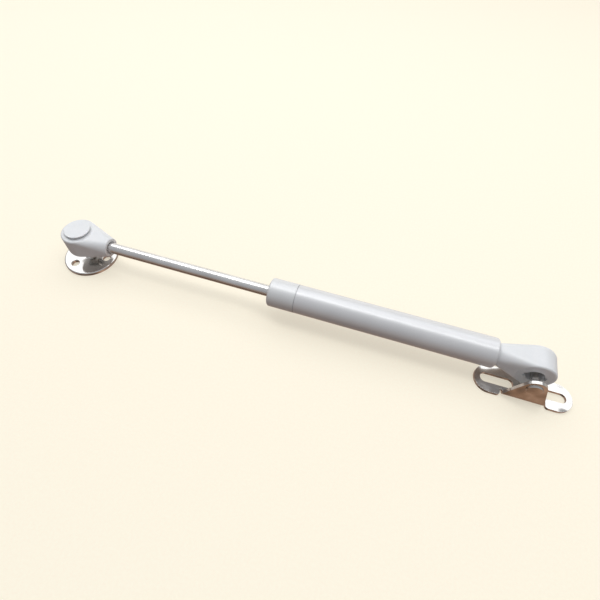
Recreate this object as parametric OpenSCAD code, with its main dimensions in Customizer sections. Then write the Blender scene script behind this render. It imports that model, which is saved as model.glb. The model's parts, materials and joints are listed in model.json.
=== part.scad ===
// Gas strut stay: a gas spring with ball-socket ends, a round screw plate
// at the rod end and a slotted angle bracket at the tube end.
// Frame: +X along the strut from the rod end to the tube end, +Z up,
// origin at the centre of the round plate's underside.

/* [Strut] */
// Distance between the two ball centres with the strut extended
centres = 246; // [240:1:260]
// Working stroke of the piston rod
stroke = 80; // [70:1:80]
// Rod left between the head and the collar with the strut pushed in
rod_left = 14.7; // [10:0.1:15]
// Height of the strut's axis above the mounting surface
axis_h = 13.9; // [13.6:0.1:15]
// Diameter of the piston rod
rod_d = 6; // [5.6:0.1:6.2]

/* [Tube] */
// Outside diameter of the pressure tube
tube_d = 15; // [14.8:0.1:16]
// Wall thickness of the tube
tube_wall = 1.1; // [0.9:0.05:1.2]
// Length of the plastic collar at the rod end
collar_len = 14.5; // [14:0.5:16]

/* [Ball ends] */
// Diameter of the ball
ball_d = 8; // [7.6:0.1:8.2]
// Diameter of the stud's neck
neck_d = 4; // [3.8:0.1:4.4]
// Outside diameter of the socket head
head_d = 18.4; // [18:0.1:19]
// Length from the ball centre to the end of the head's boss
head_reach = 18; // [17:0.5:18.5]
// Diameter of the boss where it meets the rod or the tube
boss_d = 10.6; // [10:0.1:12]
// Diameter of the rod end's snap cap
cap_d = 13.8; // [12.5:0.1:14.5]

/* [Round plate] */
// Diameter of the round plate
plate_d = 30; // [29:0.1:34]
// Thickness of the round plate
plate_t = 2; // [1.5:0.1:2.4]
// Pitch circle of the plate's screw holes
plate_pcd = 20; // [19.6:0.1:21]
// Diameter of the plate's screw holes
screw_d = 4.2; // [3.5:0.1:4.5]

/* [Slotted bracket] */
// Length of the bracket's base
bracket_len = 46.6; // [45:0.1:52]
// Depth of the bracket's base
bracket_w = 14.9; // [14:0.1:16]
// Thickness of the bracket's sheet
bracket_t = 1.6; // [1.5:0.1:2.2]
// Width of each slot
slot_w = 5; // [4:0.1:5.2]
// End-to-end length of each slot
slot_len = 16; // [14:0.5:16]
// Distance between the slots' centres
slot_pitch = 24.8; // [24.8:0.1:27]
// Width of the tab at its fold
tab_w = 19.4; // [17:0.1:19.5]
// Distance from the strut's axis to the tab's front face
tab_y = 13.7; // [13.6:0.1:16]

/* [Hidden] */
$fn = 96;

ball_r = ball_d/2;
neck_r = neck_d/2;
rod_r = rod_d/2;
tube_r = tube_d/2;
bore_r = tube_r - tube_wall;
head_r = head_d/2;
boss_r = boss_d/2;
cap_r = cap_d/2;

// the socket: every joint surface is a sphere about the ball's centre
seat_in = ball_r + 0.05;
seat_out = ball_r + 1.3;
cavity_r = seat_out + 0.06;
mouth_r = 4.2;
stem_r = 4.3;
stem_z = seat_out + 0.25;

// the heads' flat faces, measured from the ball's centre: the cap's side and
// the mouth's side of the rod end, then of the tube end
rod_top = 7.4;
rod_bot = 4.8;
tube_top = 6.2;
tube_bot = 7;

// stations along the strut
collar_x = head_reach + stroke + rod_left;  // the collar's end face
seam_x = collar_x + collar_len;
tube_end = centres - head_reach;
neck_x = collar_x + 2;          // end of the tube's necked part
neck_or = tube_r - 0.85;        // its outside radius
neck_ir = neck_or - tube_wall;  // its inside radius
bore_x = seam_x + 1.6;          // start of the full bore
piston_x = bore_x + 1.4;        // rod side of the piston
piston_len = 6;
plug_x = tube_end - 9;          // inner face of the end plug
plug_len = 6.6;

module along_x() { rotate([0, 90, 0]) children(); }

// turned part about the strut's axis; profile points are [station, radius]
module turned(pts) {
    translate([0, 0, axis_h]) along_x()
        rotate_extrude() polygon([for (p = pts) [p[1], p[0]]]);
}

// ring of round section about the strut's axis
module o_ring(x, r_mid, r_sec) {
    translate([x, 0, axis_h]) along_x()
        rotate_extrude() translate([r_mid, 0]) circle(r_sec, $fn = 32);
}

// quarter-round corner points from angle a to b about c
function arc(c, r, a, b, n = 6) =
    [for (i = [0 : n]) let (t = a + (b - a)*i/n) [c[0] + r*cos(t), c[1] + r*sin(t)]];

// places a ball end: the head's boss points along +X, the ball's stud along -Z
module at_rod_end() { translate([0, 0, axis_h]) children(); }
module at_tube_end() { translate([centres, 0, axis_h]) rotate([-90, 0, 0]) rotate([0, 0, 180]) children(); }

// solid of revolution with its edges rounded, from z0 to z1
module rounded_disc(r, z0, z1, e0, e1, n = 64) {
    rotate_extrude($fn = n) polygon(concat([[0, z0]],
        arc([r - e0, z0 + e0], e0, -90, 0, 4),
        arc([r - e1, z1 - e1], e1, 0, 90, 5), [[0, z1]]));
}

// socket head with its boss along +X; top and bot are its two faces, round_t
// and round_b the rounding of their edges
module head(top, bot, round_t, round_b, bore_depth, recess_r, recess_d) {
    difference() {
        union() {
            hull() {
                rounded_disc(head_r, -bot, top, round_b, round_t);
                translate([head_reach - 2.2, 0, 0]) along_x()
                    cylinder(r = boss_r, h = 1.2, $fn = 64);
            }
            // plain round end of the boss
            translate([head_reach - 3.4, 0, 0]) along_x()
                cylinder(r = boss_r, h = 3.4);
        }
        // spherical seat for the ball's jaws and seat
        sphere(cavity_r);
        // mouth for the ball and its neck
        translate([0, 0, -bot - 1]) cylinder(r = mouth_r, h = bot + 1);
        // bore for the snap cap
        cylinder(r = stem_r + 0.08, h = top + 1);
        // bore for the threaded end and the recess round it
        translate([head_reach - bore_depth, 0, 0]) along_x()
            cylinder(r = 2.5, h = bore_depth + 1);
        translate([head_reach - recess_d, 0, 0]) along_x()
            cylinder(r = recess_r, h = recess_d + 1);
    }
}

// push cap: a disc that stands on a stem in the head's top bore
module snap_cap() {
    rotate_extrude() polygon(concat(
        [[0, stem_z], [stem_r - 0.3, stem_z], [stem_r, stem_z + 0.3], [stem_r, rod_top + 0.7],
         [cap_r - 0.2, rod_top + 0.7]],
        arc([cap_r - 0.35, rod_top + 1.25], 0.35, 0, 90, 4),
        [[0, rod_top + 1.6]]));
}

// plug cap: sits level with the head's back, hollowed to clear the seat
module flush_cap() {
    difference() {
        translate([0, 0, 4.2]) rotate_extrude() polygon([[0, 0], [stem_r, 0],
            [stem_r, tube_top - 4.5], [stem_r - 0.4, tube_top - 4.1], [0, tube_top - 4.1]]);
        sphere(cavity_r + 0.08);
    }
}

// cup that bears on the top of the ball
module ball_seat() {
    difference() {
        intersection() {
            sphere(seat_out);
            translate([0, 0, 3.35]) cylinder(r = 5, h = 4);
        }
        sphere(seat_in);
    }
}

// split ring whose jaws grip the ball below its middle
module jaw_ring() {
    difference() {
        intersection() {
            sphere(seat_out);
            translate([0, 0, -2.75]) cylinder(r = seat_out + 1, h = 3.75);
        }
        sphere(seat_in);
        translate([0, 0, -4]) cylinder(r = neck_r + 0.95, h = 4);
        for (a = [45 : 90 : 315]) rotate([0, 0, a])
            translate([2, -0.6, -4]) cube([6, 1.2, 4.2]);
    }
}

// ball stud, its ball at the origin and its shank down to -reach;
// sheet is the thickness that the shank passes through
module ball_stud(reach, sheet, tail_r, tail_h) {
    blend = sqrt(ball_r*ball_r - neck_r*neck_r);
    rotate_extrude() polygon(concat(
        [[0, -reach - tail_h], [tail_h > 0 ? tail_r - 0.35 : 2.2, -reach - tail_h]],
        tail_h > 0 ? [[tail_r, -reach - tail_h + 0.35], [tail_r, -reach], [2.2, -reach]] : [],
        [[2.2, -reach + sheet], [3.4, -reach + sheet], [3.4, -reach + sheet + 0.4],
         [3, -reach + sheet + 0.8], [neck_r + 0.4, -reach + sheet + 1.7],
         [neck_r, -reach + sheet + 2.6], [neck_r, -blend], [0, -blend]]));
    sphere(ball_r);
}

module rod_end_plate() {
    color("gainsboro") difference() {
        rounded_disc(plate_d/2, 0, plate_t, 0.3, 0.7, 96);
        translate([0, 0, -1]) cylinder(r = 2.2, h = plate_t + 2);
        for (a = [0 : 120 : 240]) rotate([0, 0, a + 2]) translate([plate_pcd/2, 0, 0]) {
            translate([0, 0, -1]) cylinder(r = screw_d/2, h = plate_t + 2);
            translate([0, 0, plate_t - 0.4])
                cylinder(r1 = screw_d/2 - 0.1, r2 = screw_d/2 + 0.7, h = 0.8);
        }
    }
}

module rod_end_ball_stud() {
    color("silver") at_rod_end() ball_stud(axis_h, plate_t, 0, 0);
}

module rod_end_ball_seat() { color("white") at_rod_end() ball_seat(); }
module rod_end_jaw_ring() { color("lightgray") at_rod_end() jaw_ring(); }

module rod_end_head() {
    color([0.80, 0.80, 0.79]) at_rod_end()
        head(rod_top, rod_bot, 0.7, 1.2, 10, 3.6, 1);
}

module rod_end_snap_cap() { color([0.84, 0.84, 0.83]) at_rod_end() snap_cap(); }

// rod with a threaded end in the head and a riveted tenon for the piston
module piston_rod() {
    tip = piston_x + piston_len + 0.8;
    color("silver") turned([
        [head_reach - 10, 0], [head_reach - 10, 2.1], [head_reach - 9.6, 2.5],
        [head_reach - 1, 2.5], [head_reach - 1, rod_r],
        [piston_x - 0.8, rod_r], [piston_x - 0.8, 2],
        [tip, 2], [tip, 3], [tip + 0.5, 3], [tip + 1.2, 2], [tip + 1.2, 0]]);
}

module orifice_washer() {
    color("darkgray") turned([[piston_x - 0.8, 2], [piston_x - 0.8, 4.6],
                              [piston_x, 4.6], [piston_x, 2]]);
}

module piston() {
    g0 = piston_x + 2.2;
    color("goldenrod") difference() {
        turned([[piston_x, 2], [piston_x, bore_r - 0.5], [piston_x + 0.35, bore_r - 0.12],
                [g0, bore_r - 0.12], [g0, bore_r - 1.3], [g0 + 1.6, bore_r - 1.3],
                [g0 + 1.6, bore_r - 0.12], [piston_x + piston_len - 0.35, bore_r - 0.12],
                [piston_x + piston_len, bore_r - 0.5], [piston_x + piston_len, 2]]);
        // axial flow passages
        for (a = [0, 120, 240]) translate([piston_x - 1, 0, axis_h]) rotate([a, 0, 0])
            translate([0, 0, 3.6]) along_x() cylinder(r = 0.5, h = piston_len + 2, $fn = 24);
    }
}

module piston_ring() {
    g0 = piston_x + 2.25;
    color([0.15, 0.15, 0.15]) turned([[g0, bore_r - 1.25], [g0, bore_r - 0.05],
                              [g0 + 1.5, bore_r - 0.05], [g0 + 1.5, bore_r - 1.25]]);
}

module piston_rivet_washer() {
    x0 = piston_x + piston_len;
    color("silver") turned([[x0, 2], [x0, 4.2], [x0 + 0.8, 4.2], [x0 + 0.8, 2]]);
}

// plastic collar pushed over the tube's necked end
module rod_guide_collar() {
    r = tube_r + 0.05;
    color([0.83, 0.83, 0.85]) turned(concat(
        [[collar_x, rod_r + 0.35]],
        [for (p = arc([collar_x + 1.3, r - 1.3], 1.3, 180, 90, 6)) p],
        [[seam_x, r], [seam_x, neck_or], [neck_x, neck_or], [neck_x, 4.4],
         [collar_x + 1, 4.4], [collar_x + 1, rod_r + 0.35]]));
}

module wiper_ring() {
    color([0.1, 0.1, 0.1]) turned([[collar_x + 1, rod_r + 0.5], [collar_x + 1, 4.4],
        [neck_x, 4.4], [neck_x, rod_r + 0.5], [collar_x + 1.5, rod_r + 0.04],
        [collar_x + 1.2, rod_r + 0.04]]);
}

// steel tube: necked and rolled in at the rod end, rolled over the plug at the other
module pressure_tube() {
    e = 1.4;
    color([0.78, 0.78, 0.80]) turned(concat(
        [[neck_x, 4.5]],
        arc([neck_x + 0.8, neck_or - 0.8], 0.8, 180, 90, 4),
        [[seam_x + 0.12, neck_or], [seam_x + 0.12, tube_r - 0.15], [seam_x + 0.27, tube_r],
         [tube_end - e, tube_r]],
        [for (p = arc([tube_end - e, tube_r - e], e, 90, 0, 8)) p],
        [[tube_end, 4.2], [tube_end - 1.2, 4.2], [tube_end - 1.2, tube_r - 2.3],
         [plug_x + plug_len, bore_r - 0.9], [plug_x + plug_len - 0.9, bore_r],
         [bore_x, bore_r], [bore_x - 1, neck_ir],
         [neck_x + 1, neck_ir], [neck_x + 1, 4.5]]));
}

module rod_guide_bush() {
    x0 = neck_x + 1; r = neck_ir - 0.01;
    color("goldenrod") turned([[x0, rod_r + 0.03], [x0, r], [x0 + 1.5, r], [x0 + 1.5, r - 0.9],
        [x0 + 2.7, r - 0.9], [x0 + 2.7, r], [x0 + 4.4, r], [x0 + 4.4, rod_r + 0.03]]);
}

module guide_o_ring() {
    color([0.1, 0.1, 0.1]) o_ring(neck_x + 3.1, neck_ir - 0.46, 0.42);
}

module seal_backing_washer() {
    x0 = neck_x + 5.4;
    color("silver") turned([[x0, rod_r + 0.15], [x0, neck_ir - 0.05],
                            [x0 + 0.8, neck_ir - 0.05], [x0 + 0.8, rod_r + 0.15]]);
}

// lip seal with its lips towards the gas
module rod_seal() {
    x0 = neck_x + 6.2; r = neck_ir - 0.02;
    color([0.12, 0.12, 0.12]) turned([[x0, rod_r + 0.3], [x0, r], [x0 + 3.6, r],
        [x0 + 3.6, r - 0.5], [x0 + 1.6, r - 0.9], [x0 + 1.6, rod_r + 0.9],
        [x0 + 3.4, rod_r + 0.5], [x0 + 3.4, rod_r + 0.04], [x0 + 2.6, rod_r + 0.04]]);
}

module tube_end_plug() {
    r = bore_r - 0.01; g = plug_x + 1.8;
    color("silver") turned([[plug_x, 0], [plug_x, r - 0.4], [plug_x + 0.4, r], [g, r], [g, r - 1],
        [g + 1.5, r - 1], [g + 1.5, r], [plug_x + plug_len - 0.9, r],
        [plug_x + plug_len, bore_r - 0.95], [tube_end - 1.25, tube_r - 2.4],
        [tube_end - 1.25, 2.5], [plug_x + 3.6, 2.5], [plug_x + 3.6, 0]]);
}

module plug_o_ring() {
    color([0.1, 0.1, 0.1]) o_ring(plug_x + 2.55, bore_r - 0.53, 0.46);
}

// threaded stud from the plug into the tube-end head
module head_stud() {
    x0 = plug_x + 3.6;
    color("silver") turned([[x0, 0], [x0, 2.5], [tube_end + 8.6, 2.5], [tube_end + 9, 2.1],
                            [tube_end + 9, 0]]);
}

module tube_end_head() {
    color([0.80, 0.80, 0.79]) at_tube_end() difference() {
        head(tube_top, tube_bot, 3, 0.9, 9.4, 3.4, 0.6);
        // release notches on both sides of the mouth
        translate([-5.2, -1.4, -tube_bot - 1]) cube([10.4, 2.8, 3]);
    }
}

module tube_end_snap_cap() { color([0.84, 0.84, 0.83]) at_tube_end() flush_cap(); }
module tube_end_jaw_ring() { color("lightgray") at_tube_end() jaw_ring(); }
module tube_end_ball_seat() { color("white") at_tube_end() ball_seat(); }

module tube_end_ball_stud() {
    color("silver") at_tube_end() ball_stud(tab_y, bracket_t, 3.7, 0.7);
}

// point where a line from p touches a circle, on the side given by s
function touch(c, r, p, s) =
    let (d = p - c, a = atan2(d[1], d[0]) + s*acos(r/norm(d)))
    [c[0] + r*cos(a), c[1] + r*sin(a)];

// flat outline of the bracket's base, from the front edge back
module base_outline() {
    w = bracket_w; l = bracket_len/2 - w/2;
    y0 = -tab_y - 0.7; yc = y0 + w/2; c = tab_w/2 + 0.9;
    difference() {
        union() {
            for (s = [-1, 1]) translate([s*l, yc]) circle(w/2);
            translate([-l, y0]) square([2*l, w]);
        }
        // the tab's blank is cut away in front of the fold, with relief notches
        translate([-c, y0 - 1]) square([2*c, 1 + 0.7 + bracket_t + 0.9]);
        // the wings' front corners beside the notches are rounded
        for (s = [-1, 1]) translate([s*c, y0]) difference() {
            translate([-1.5, -1.5]) square(3);
            translate([s*1.5, 1.5]) circle(1.5);
            translate([-1.6, 1.5]) square(3.2);
            translate([s*1.5 - (s < 0 ? 1.5 : 0), -1.6]) square([1.5, 3.2]);
        }
        for (s = [-1, 1]) translate([s*slot_pitch/2, yc]) {
            for (e = [-1, 1]) translate([e*(slot_len - slot_w)/2, 0]) circle(slot_w/2);
            translate([-(slot_len - slot_w)/2, -slot_w/2]) square([slot_len - slot_w, slot_w]);
        }
    }
}

module slotted_bracket() {
    ri = 0.8; ro = ri + bracket_t;     // inside and outside radii of the fold
    top = [0, axis_h + 0.9]; r = 4.9;
    p = [tab_w/2, ro];
    tr = touch(top, r, p, 1);
    color("gainsboro") translate([centres, 0, 0]) difference() {
        union() {
            linear_extrude(bracket_t) base_outline();
            // root of the tab behind the fold
            translate([-tab_w/2, -tab_y + ro, 0]) cube([tab_w, 1, bracket_t]);
            // quarter-round fold
            translate([-tab_w/2, -tab_y + ro, ro]) along_x()
                intersection() {
                    difference() {
                        cylinder(r = ro, h = tab_w);
                        translate([0, 0, -1]) cylinder(r = ri, h = tab_w + 2);
                    }
                    translate([0, -ro, -1]) cube([ro, ro, tab_w + 2]);
                }
            // upright tab with its rounded top
            translate([0, -tab_y + bracket_t, 0]) rotate([90, 0, 0]) linear_extrude(bracket_t)
                union() {
                    translate(top) circle(r);
                    polygon([[-tab_w/2, ro], p, tr, [0, axis_h], [-tr[0], tr[1]]]);
                }
        }
        translate([0, -tab_y - 1, axis_h]) rotate([-90, 0, 0]) cylinder(r = 2.2, h = bracket_t + 2);
    }
}

rod_end_plate();
rod_end_ball_stud();
rod_end_ball_seat();
rod_end_jaw_ring();
rod_end_head();
rod_end_snap_cap();
piston_rod();
orifice_washer();
piston();
piston_ring();
piston_rivet_washer();
rod_guide_collar();
wiper_ring();
pressure_tube();
rod_guide_bush();
guide_o_ring();
seal_backing_washer();
rod_seal();
tube_end_plug();
plug_o_ring();
head_stud();
tube_end_head();
tube_end_snap_cap();
tube_end_jaw_ring();
tube_end_ball_seat();
tube_end_ball_stud();
slotted_bracket();
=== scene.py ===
import json
import math

import bpy
import bmesh
from mathutils import Matrix, Vector


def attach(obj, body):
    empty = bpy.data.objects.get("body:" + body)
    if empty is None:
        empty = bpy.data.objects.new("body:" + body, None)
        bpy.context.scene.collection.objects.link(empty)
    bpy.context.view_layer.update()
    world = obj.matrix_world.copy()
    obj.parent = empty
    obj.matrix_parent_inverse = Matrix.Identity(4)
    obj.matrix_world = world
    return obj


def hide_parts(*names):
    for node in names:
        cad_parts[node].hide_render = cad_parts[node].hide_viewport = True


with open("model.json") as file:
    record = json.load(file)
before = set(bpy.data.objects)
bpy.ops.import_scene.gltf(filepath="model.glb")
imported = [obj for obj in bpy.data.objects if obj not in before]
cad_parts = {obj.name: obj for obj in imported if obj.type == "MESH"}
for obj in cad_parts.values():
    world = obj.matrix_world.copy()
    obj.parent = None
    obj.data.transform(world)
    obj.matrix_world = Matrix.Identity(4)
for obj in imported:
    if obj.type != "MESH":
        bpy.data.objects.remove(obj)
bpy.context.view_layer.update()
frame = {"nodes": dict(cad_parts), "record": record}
NODES = frame["nodes"]
MM = 0.001
H = 13.9          # strut axis above the floor, mm
CX = 246.0        # ball to ball, mm
REACH = 18.0


# ---------------------------------------------------------------- materials
def new_mat(name):
    m = bpy.data.materials.new(name)
    m.use_nodes = True
    nt = m.node_tree
    return m, nt, nt.nodes["Principled BSDF"]


def add(nt, kind, **vals):
    n = nt.nodes.new(kind)
    for k, v in vals.items():
        if hasattr(n, k):
            setattr(n, k, v)
        else:
            n.inputs[k.replace("_", " ")].default_value = v
    return n


def coords(nt, scale):
    tc = add(nt, "ShaderNodeTexCoord")
    mp = add(nt, "ShaderNodeMapping")
    mp.inputs["Scale"].default_value = scale
    nt.links.new(tc.outputs["Object"], mp.inputs["Vector"])
    return mp.outputs["Vector"]


def noise(nt, vec, scale, detail=4.0, rough=0.55):
    n = add(nt, "ShaderNodeTexNoise")
    n.inputs["Scale"].default_value = scale
    n.inputs["Detail"].default_value = detail
    n.inputs["Roughness"].default_value = rough
    nt.links.new(vec, n.inputs["Vector"])
    return n.outputs["Fac"]


def ramp(nt, fac, stops):
    r = add(nt, "ShaderNodeValToRGB")
    e = r.color_ramp.elements
    e[0].position, e[0].color = stops[0][0], stops[0][1]
    e[1].position, e[1].color = stops[-1][0], stops[-1][1]
    for p, c in stops[1:-1]:
        x = e.new(p)
        x.color = c
    nt.links.new(fac, r.inputs["Fac"])
    return r.outputs["Color"]


def remap(nt, fac, lo, hi):
    r = add(nt, "ShaderNodeMapRange")
    r.inputs["From Min"].default_value = 0.25
    r.inputs["From Max"].default_value = 0.75
    r.inputs["To Min"].default_value = lo
    r.inputs["To Max"].default_value = hi
    nt.links.new(fac, r.inputs["Value"])
    return r.outputs["Result"]


def bump(nt, bsdf, fac, strength, dist):
    b = add(nt, "ShaderNodeBump")
    b.inputs["Strength"].default_value = strength
    b.inputs["Distance"].default_value = dist
    nt.links.new(fac, b.inputs["Height"])
    nt.links.new(b.outputs["Normal"], bsdf.inputs["Normal"])
    return b


def surface(name, dark, light, metallic, r_lo, r_hi, grain=(1, 1, 1), grain_scale=900.0, bump_s=0.05, bump_d=0.00002,
            cloud=60.0, coat=0.0, coat_rough=0.1, spec=0.5, sss=0.0, scratch=True, wave=0.0):
    """A worked surface: colour mottling at two sizes, uneven gloss, a fine grain in the bump and faint handling marks."""
    m, nt, b = new_mat(name)
    v = coords(nt, (1, 1, 1))
    vg = coords(nt, grain)
    big = noise(nt, v, cloud, 3.0)
    fine = noise(nt, vg, grain_scale, 5.0, 0.6)
    mix = add(nt, "ShaderNodeMath", operation="MULTIPLY_ADD")
    nt.links.new(fine, mix.inputs[0])
    mix.inputs[1].default_value = 0.35
    sc = add(nt, "ShaderNodeMath", operation="MULTIPLY")
    nt.links.new(big, sc.inputs[0])
    sc.inputs[1].default_value = 0.65
    nt.links.new(sc.outputs[0], mix.inputs[2])
    col = ramp(nt, mix.outputs[0], [(0.32, (*dark, 1)), (0.68, (*light, 1))])
    nt.links.new(col, b.inputs["Base Color"])
    rough = remap(nt, mix.outputs[0], r_lo, r_hi)
    if scratch:
        # faint handling marks: thin stretched streaks that dull the gloss
        vs = coords(nt, (1.0, 9.0, 9.0))
        st = noise(nt, vs, 240.0, 2.0, 0.5)
        edge = ramp(nt, st, [(0.60, (0, 0, 0, 1)), (0.72, (1, 1, 1, 1))])
        ad = add(nt, "ShaderNodeMath", operation="MULTIPLY_ADD")
        nt.links.new(edge, ad.inputs[0])
        ad.inputs[1].default_value = 0.05
        nt.links.new(rough, ad.inputs[2])
        rough = ad.outputs[0]
    nt.links.new(rough, b.inputs["Roughness"])
    b.inputs["Metallic"].default_value = metallic
    b.inputs["Specular IOR Level"].default_value = spec
    b.inputs["Coat Weight"].default_value = coat
    b.inputs["Coat Roughness"].default_value = coat_rough
    if sss:
        b.inputs["Subsurface Weight"].default_value = sss
        b.inputs["Subsurface Radius"].default_value = (0.0012, 0.001, 0.0008)
        b.inputs["Subsurface Scale"].default_value = 1.0
    last = bump(nt, b, fine, bump_s, bump_d)
    if wave:
        # the slight waviness of pressed sheet, which bends its reflections
        wv = noise(nt, v, 95.0, 1.0, 0.4)
        wb = add(nt, "ShaderNodeBump")
        wb.inputs["Strength"].default_value = 1.0
        wb.inputs["Distance"].default_value = wave
        nt.links.new(wv, wb.inputs["Height"])
        nt.links.new(wb.outputs["Normal"], last.inputs["Normal"])
    return m


NICKEL = surface("nickel_plate", (0.60, 0.585, 0.56), (0.82, 0.80, 0.775), 1.0, 0.09, 0.17, (1, 1, 1), 420.0, 0.12, 0.00002, 45.0, wave=0.0011)
CHROME = surface("chrome_rod", (0.74, 0.73, 0.72), (0.90, 0.895, 0.89), 1.0, 0.23, 0.30, (0.6, 5, 5), 700.0, 0.04, 0.000008, 70.0)
PAINT = surface("silver_tube", (0.66, 0.665, 0.68), (0.75, 0.755, 0.77), 0.30, 0.34, 0.44, (1, 1, 1), 2600.0, 0.06, 0.000015, 30.0, 0.25, 0.18)
COLLAR = surface("collar_plastic", (0.66, 0.67, 0.68), (0.75, 0.76, 0.77), 0.25, 0.36, 0.46, (1, 1, 1), 2200.0, 0.08, 0.00002, 40.0, 0.2, 0.2)
HEAD = surface("head_plastic", (0.70, 0.715, 0.73), (0.78, 0.79, 0.805), 0.05, 0.34, 0.46, (1, 1, 1), 1500.0, 0.18, 0.00003, 90.0, 0.0, 0.1, 0.5, 0.05)
SEAT = surface("seat_plastic", (0.68, 0.68, 0.65), (0.80, 0.80, 0.77), 0.0, 0.40, 0.52, (1, 1, 1), 1500.0, 0.15, 0.00002, 90.0, sss=0.1)
STEEL = surface("steel", (0.30, 0.295, 0.29), (0.48, 0.475, 0.47), 1.0, 0.24, 0.42, (1, 6, 6), 800.0, 0.25, 0.00002, 80.0)
BRONZE = surface("piston_metal", (0.28, 0.20, 0.10), (0.48, 0.36, 0.19), 1.0, 0.30, 0.48, (1, 1, 1), 1800.0, 0.3, 0.00003, 80.0)
RUBBER = surface("seal_rubber", (0.012, 0.012, 0.012), (0.03, 0.03, 0.031), 0.0, 0.55, 0.75, (1, 1, 1), 1500.0, 0.3, 0.00003, 80.0, spec=0.35)

BY_SLOT = {"nickel_plate": NICKEL, "chrome_rod": CHROME, "silver_tube": PAINT, "collar_plastic": COLLAR,
           "head_plastic": HEAD, "seat_plastic": SEAT, "steel": STEEL, "piston_metal": BRONZE, "seal_rubber": RUBBER}
for sp in frame["record"]["subparts"]:
    o = NODES[sp["node"]]
    o.data.materials.clear()
    o.data.materials.append(BY_SLOT[sp["material_slot"]])


# ---------------------------------------------------------------- mesh helpers
def link(name, me):
    o = bpy.data.objects.new(name, me)
    bpy.context.scene.collection.objects.link(o)
    return o


def smooth(o, angle=32):
    for p in o.data.polygons:
        p.use_smooth = True
    m = o.modifiers.new("split", "EDGE_SPLIT")
    m.split_angle = math.radians(angle)
    n = o.modifiers.new("flats", "WEIGHTED_NORMAL")
    n.mode = "FACE_AREA"
    n.weight = 80
    return o


def lathe(name, profile, n=160, closed=True):
    """Solid of revolution about Z from (radius, z) points in mm, listed outside in."""
    bm = bmesh.new()
    rings = []
    for r, z in profile:
        if r < 1e-6:
            rings.append([bm.verts.new((0, 0, z * MM))])
        else:
            rings.append([bm.verts.new((r * MM * math.cos(2 * math.pi * i / n), r * MM * math.sin(2 * math.pi * i / n), z * MM)) for i in range(n)])
    pairs = list(zip(rings, rings[1:])) + ([(rings[-1], rings[0])] if closed and len(rings[0]) > 1 and len(rings[-1]) > 1 else [])
    for a, b in pairs:
        if len(a) == 1 and len(b) == 1:
            continue
        for i in range(n):
            j = (i + 1) % n
            if len(a) == 1:
                bm.faces.new((a[0], b[j], b[i]))
            elif len(b) == 1:
                bm.faces.new((a[i], a[j], b[0]))
            else:
                bm.faces.new((a[i], a[j], b[j], b[i]))
    bmesh.ops.recalc_face_normals(bm, faces=bm.faces)
    me = bpy.data.meshes.new(name)
    bm.to_mesh(me)
    bm.free()
    return link(name, me)


def place(o, m):
    o.data.transform(m)
    return o


def cut(o, tool):
    md = o.modifiers.new("cut", "BOOLEAN")
    md.operation = "DIFFERENCE"
    md.solver = "EXACT"
    md.object = tool
    dg = bpy.context.evaluated_depsgraph_get()
    me = bpy.data.meshes.new_from_object(o.evaluated_get(dg))
    o.modifiers.remove(md)
    old = o.data
    o.data = me
    bpy.data.meshes.remove(old)
    tm = tool.data
    bpy.data.objects.remove(tool)
    bpy.data.meshes.remove(tm)
    return o


def arc(cx, cz, r, a, b, n):
    return [(cx + r * math.cos(math.radians(a + (b - a) * i / n)), cz + r * math.sin(math.radians(a + (b - a) * i / n))) for i in range(n + 1)]


def cyl(name, r, z0, z1, n=128):
    return lathe(name, [(0, z0), (r, z0), (r, z1), (0, z1)], n, closed=False)


ALONG_X = Matrix.Rotation(math.pi / 2, 4, "Y")
ROD_END = Matrix.Translation((0, 0, H * MM))
TUBE_END = Matrix.Translation((CX * MM, 0, H * MM)) @ Matrix.Rotation(-math.pi / 2, 4, "X") @ Matrix.Rotation(math.pi, 4, "Z")


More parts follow.
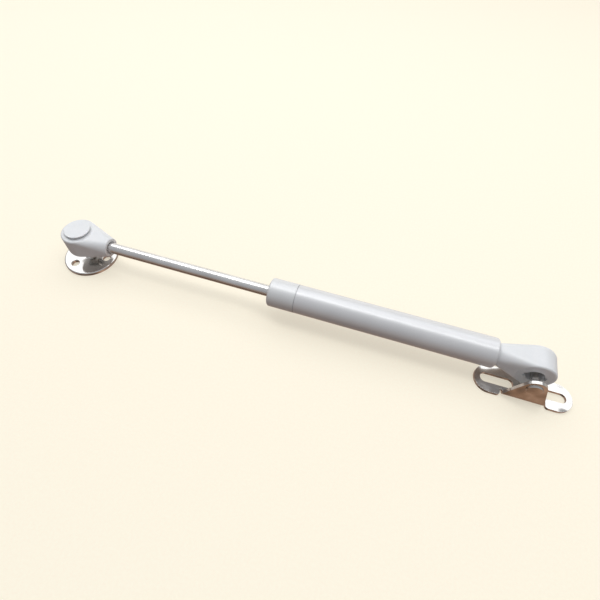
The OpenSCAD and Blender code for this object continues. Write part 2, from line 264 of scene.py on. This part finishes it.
def socket_head(name, top, bot, round_t, round_b, bore_depth, recess_r, recess_d, cap_bore):
    """Moulded head: hull of a rounded disc and the boss, with the mouth, the ball cavity, the cap's bore and the thread's bore."""
    R, BR = 9.2, 5.3
    pts = []
    prof = arc(R - round_b, -bot + round_b, round_b, -90, 0, 8) + arc(R - round_t, top - round_t, round_t, 0, 90, 14)
    n = 240
    for r, z in prof:
        for i in range(n):
            a = 2 * math.pi * i / n
            pts.append(Vector((r * math.cos(a), r * math.sin(a), z)))
    for i in range(n):
        a = 2 * math.pi * i / n
        for x, r in ((REACH - 0.5, BR), (REACH, BR - 0.5)):
            pts.append(Vector((x, r * math.cos(a), r * math.sin(a))))
    for k in range(1, 4):
        t = math.radians(90 * k / 4)
        for i in range(n):
            a = 2 * math.pi * i / n
            r = BR - 0.5 + 0.5 * math.cos(t)
            pts.append(Vector((REACH - 0.5 + 0.5 * math.sin(t), r * math.cos(a), r * math.sin(a))))
    bm = bmesh.new()
    for p in pts:
        bm.verts.new(p * MM)
    res = bmesh.ops.convex_hull(bm, input=bm.verts)
    bad = [g for g in res["geom_interior"] if isinstance(g, bmesh.types.BMVert)]
    bmesh.ops.delete(bm, geom=bad, context="VERTS")
    bmesh.ops.recalc_face_normals(bm, faces=bm.faces)
    bmesh.ops.dissolve_limit(bm, angle_limit=math.radians(0.4), verts=bm.verts, edges=bm.edges)
    me = bpy.data.meshes.new(name)
    bm.to_mesh(me)
    bm.free()
    o = link(name, me)
    cav = 5.36
    zt = cap_bore
    # one turned tool for the mouth, the ball cavity and the cap's bore
    a0 = -math.degrees(math.acos(4.2 / cav))
    a1 = math.degrees(math.acos(4.38 / cav))
    tool = [(0, -bot - 1), (4.55, -bot - 1), (4.55, -bot), (4.2, -bot + 0.35)] + arc(0, 0, cav, a0, a1, 24) + [(4.38, top - 0.25), (4.6, top), (4.6, top + 1), (0, top + 1)]
    cut(o, lathe("tool", tool, 160, closed=False))
    b = place(lathe("tool", [(0, REACH - bore_depth), (2.5, REACH - bore_depth), (2.5, REACH - recess_d), (recess_r, REACH - recess_d), (recess_r, REACH - 0.2), (recess_r + 0.25, REACH + 0.05), (recess_r + 0.25, REACH + 1), (0, REACH + 1)], 128, closed=False), ALONG_X)
    cut(o, b)
    return o


def box_tool(x0, x1, y0, y1, z0, z1):
    bm = bmesh.new()
    bmesh.ops.create_cube(bm, size=1.0)
    for v in bm.verts:
        v.co = Vector(((x0 + x1) / 2 + v.co.x * (x1 - x0), (y0 + y1) / 2 + v.co.y * (y1 - y0), (z0 + z1) / 2 + v.co.z * (z1 - z0))) * MM
    me = bpy.data.meshes.new("tool")
    bm.to_mesh(me)
    bm.free()
    return link("tool", me)


# ---------------------------------------------------------------- heads
head_a = socket_head("head_rod_end", 7.4, 4.8, 0.9, 1.4, 10, 3.6, 1.0, 5.36)
place(head_a, ROD_END)
smooth(head_a, 34)
head_a.data.materials.clear()
head_a.data.materials.append(HEAD)
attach(head_a, "rod")
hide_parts("rod_end_head")

head_b = socket_head("head_tube_end", 6.2, 7.0, 3.0, 1.0, 9.4, 3.4, 0.6, 5.36)
cut(head_b, box_tool(-5.2, 5.2, -1.4, 1.4, -9, -5))
place(head_b, TUBE_END)
smooth(head_b, 34)
head_b.data.materials.clear()
head_b.data.materials.append(HEAD)
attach(head_b, "tube")
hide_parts("tube_end_head")


# ---------------------------------------------------------------- pressed metal, with its sharp edges eased
def eased(node, body, slot, width, segments=3, angle=35, split=50):
    """A piece with the CAD node's own shape, its arrises rounded over and shaded smooth."""
    src = NODES[node]
    bm = bmesh.new()
    bm.from_mesh(src.data)
    bm.transform(src.matrix_world)
    bmesh.ops.remove_doubles(bm, verts=bm.verts, dist=2e-7)
    bmesh.ops.dissolve_limit(bm, angle_limit=math.radians(0.3), verts=bm.verts, edges=bm.edges)
    bmesh.ops.recalc_face_normals(bm, faces=bm.faces)
    if width:
        sharp = [e for e in bm.edges if len(e.link_faces) == 2 and e.calc_face_angle(0.0) > math.radians(angle)]
        bmesh.ops.bevel(bm, geom=sharp, offset=width * MM, offset_type="OFFSET", segments=segments, profile=0.5, affect="EDGES",
                        clamp_overlap=True)
    me = bpy.data.meshes.new(node + "_finished")
    bm.to_mesh(me)
    bm.free()
    me.materials.append(BY_SLOT[slot])
    o = link(node + "_finished", me)
    smooth(o, split)
    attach(o, body)
    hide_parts(node)
    return o


eased("slotted_bracket", "tube_end_mount", "nickel_plate", 0.22)
eased("rod_end_plate", "rod_end_mount", "nickel_plate", 0.12)


# ---------------------------------------------------------------- stage, light, camera
def plain_floor():
    m, nt, b = new_mat("floor_paper")
    v = coords(nt, (1, 1, 1))
    f = noise(nt, v, 900.0, 3.0)
    c = ramp(nt, f, [(0.3, (0.50, 0.466, 0.388, 1)), (0.7, (0.515, 0.48, 0.402, 1))])
    nt.links.new(c, b.inputs["Base Color"])
    nt.links.new(c, b.inputs["Emission Color"])
    b.inputs["Emission Strength"].default_value = 1.0
    b.inputs["Roughness"].default_value = 0.9
    b.inputs["Specular IOR Level"].default_value = 0.1
    bm = bmesh.new()
    bmesh.ops.create_grid(bm, x_segments=1, y_segments=1, size=3.0)
    me = bpy.data.meshes.new("floor")
    bm.to_mesh(me)
    bm.free()
    o = link("floor", me)
    o.location = (0.12, 0, -0.00005)
    me.materials.append(m)
    # the table's bounce is left to the studio's warm lower half
    o.visible_diffuse = False
    o.visible_glossy = False


plain_floor()


def area(name, loc, target, size, size_y, energy, color=(1, 1, 1)):
    li = bpy.data.lights.new(name, "AREA")
    li.shape = "RECTANGLE"
    li.size, li.size_y = size, size_y
    li.energy = energy
    li.color = color
    o = bpy.data.objects.new(name, li)
    bpy.context.scene.collection.objects.link(o)
    o.location = loc
    d = Vector(target) - Vector(loc)
    o.rotation_euler = d.to_track_quat("-Z", "Y").to_euler()
    return o


area("key", (0.14, 0.11, 0.72), (0.12, 0, 0), 1.3, 0.16, 2.4, (1.0, 0.995, 0.985))
area("back_card", (0.05, 0.43, 0.58), (0.12, 0, 0), 1.6, 0.46, 2.9, (0.985, 0.99, 1.0))

w = bpy.data.worlds.new("studio")
bpy.context.scene.world = w
w.use_nodes = True
wn = w.node_tree
bg = wn.nodes["Background"]
wc = wn.nodes.new("ShaderNodeTexCoord")
sep = wn.nodes.new("ShaderNodeSeparateXYZ")
wn.links.new(wc.outputs["Generated"], sep.inputs["Vector"])
mr = wn.nodes.new("ShaderNodeMapRange")
mr.inputs["From Min"].default_value = -1.0
mr.inputs["From Max"].default_value = 1.0
wn.links.new(sep.outputs["Z"], mr.inputs["Value"])
sky = ramp(wn, mr.outputs["Result"], [(0.0, (0.34, 0.225, 0.165, 1)), (0.40, (0.31, 0.225, 0.18, 1)), (0.52, (0.33, 0.32, 0.32, 1)),
                                      (0.80, (0.42, 0.43, 0.45, 1)), (1.0, (0.50, 0.51, 0.52, 1))])
# a brown table edge low down in front
front = wn.nodes.new("ShaderNodeMapRange")
front.interpolation_type = "SMOOTHSTEP"
front.inputs["From Min"].default_value = -0.12
front.inputs["From Max"].default_value = -0.42
wn.links.new(sep.outputs["Y"], front.inputs["Value"])
low = wn.nodes.new("ShaderNodeMapRange")
low.interpolation_type = "SMOOTHSTEP"
low.inputs["From Min"].default_value = -0.25
low.inputs["From Max"].default_value = -0.60
wn.links.new(sep.outputs["Z"], low.inputs["Value"])
both = wn.nodes.new("ShaderNodeMath")
both.operation = "MULTIPLY"
wn.links.new(front.outputs["Result"], both.inputs[0])
wn.links.new(low.outputs["Result"], both.inputs[1])
# lighter to the right, darker to the left
side = wn.nodes.new("ShaderNodeMapRange")
side.inputs["From Min"].default_value = 0.25
side.inputs["From Max"].default_value = 0.50
wn.links.new(sep.outputs["X"], side.inputs["Value"])
brown = ramp(wn, side.outputs["Result"], [(0.0, (0.13, 0.085, 0.06, 1)), (0.5, (0.30, 0.175, 0.11, 1)), (1.0, (0.62, 0.40, 0.28, 1))])
mx = wn.nodes.new("ShaderNodeMixRGB")
wn.links.new(both.outputs[0], mx.inputs["Fac"])
wn.links.new(sky, mx.inputs["Color1"])
wn.links.new(brown, mx.inputs["Color2"])
# the pale backdrop beyond the object, about level with it
far = wn.nodes.new("ShaderNodeMapRange")
far.interpolation_type = "SMOOTHSTEP"
far.inputs["From Min"].default_value = 0.30
far.inputs["From Max"].default_value = 0.70
wn.links.new(sep.outputs["Y"], far.inputs["Value"])
off = wn.nodes.new("ShaderNodeMath")
off.operation = "ADD"
off.inputs[1].default_value = 0.10
wn.links.new(sep.outputs["Z"], off.inputs[0])
mag = wn.nodes.new("ShaderNodeMath")
mag.operation = "ABSOLUTE"
wn.links.new(off.outputs[0], mag.inputs[0])
level = wn.nodes.new("ShaderNodeMapRange")
level.interpolation_type = "SMOOTHSTEP"
level.inputs["From Min"].default_value = 0.60
level.inputs["From Max"].default_value = 0.30
wn.links.new(mag.outputs[0], level.inputs["Value"])
band = wn.nodes.new("ShaderNodeMath")
band.operation = "MULTIPLY"
wn.links.new(far.outputs["Result"], band.inputs[0])
wn.links.new(level.outputs["Result"], band.inputs[1])
pale = wn.nodes.new("ShaderNodeMixRGB")
wn.links.new(band.outputs[0], pale.inputs["Fac"])
wn.links.new(mx.outputs["Color"], pale.inputs["Color1"])
pale.inputs["Color2"].default_value = (1.0, 0.97, 0.90, 1)
wn.links.new(pale.outputs["Color"], bg.inputs["Color"])
bg.inputs["Strength"].default_value = 1.0

R = [[0.9524023322370117, 0.3039601795191343, 0.02319497394256734],
     [0.2618896960952255, -0.7768885178506433, -0.5725888733733662],
     [-0.15602430781340185, 0.5514095030905126, -0.8195144753284244]]
cam = bpy.data.cameras.new("camera")
cam.sensor_width = 36.0
cam.sensor_fit = "HORIZONTAL"
cam.lens = 415.6198 * 36.0 / 600.0
cam.clip_start = 0.005
cam.clip_end = 20.0
cam.dof.use_dof = False
co = bpy.data.objects.new("camera", cam)
bpy.context.scene.collection.objects.link(co)
M = Matrix(((R[0][0], -R[1][0], -R[2][0], 0.16275497),
            (R[0][1], -R[1][1], -R[2][1], -0.11903747),
            (R[0][2], -R[1][2], -R[2][2], 0.19042155),
            (0, 0, 0, 1)))
co.matrix_world = M
bpy.context.scene.camera = co
bpy.context.scene.view_settings.view_transform = "Standard"
bpy.context.scene.view_settings.look = "None"
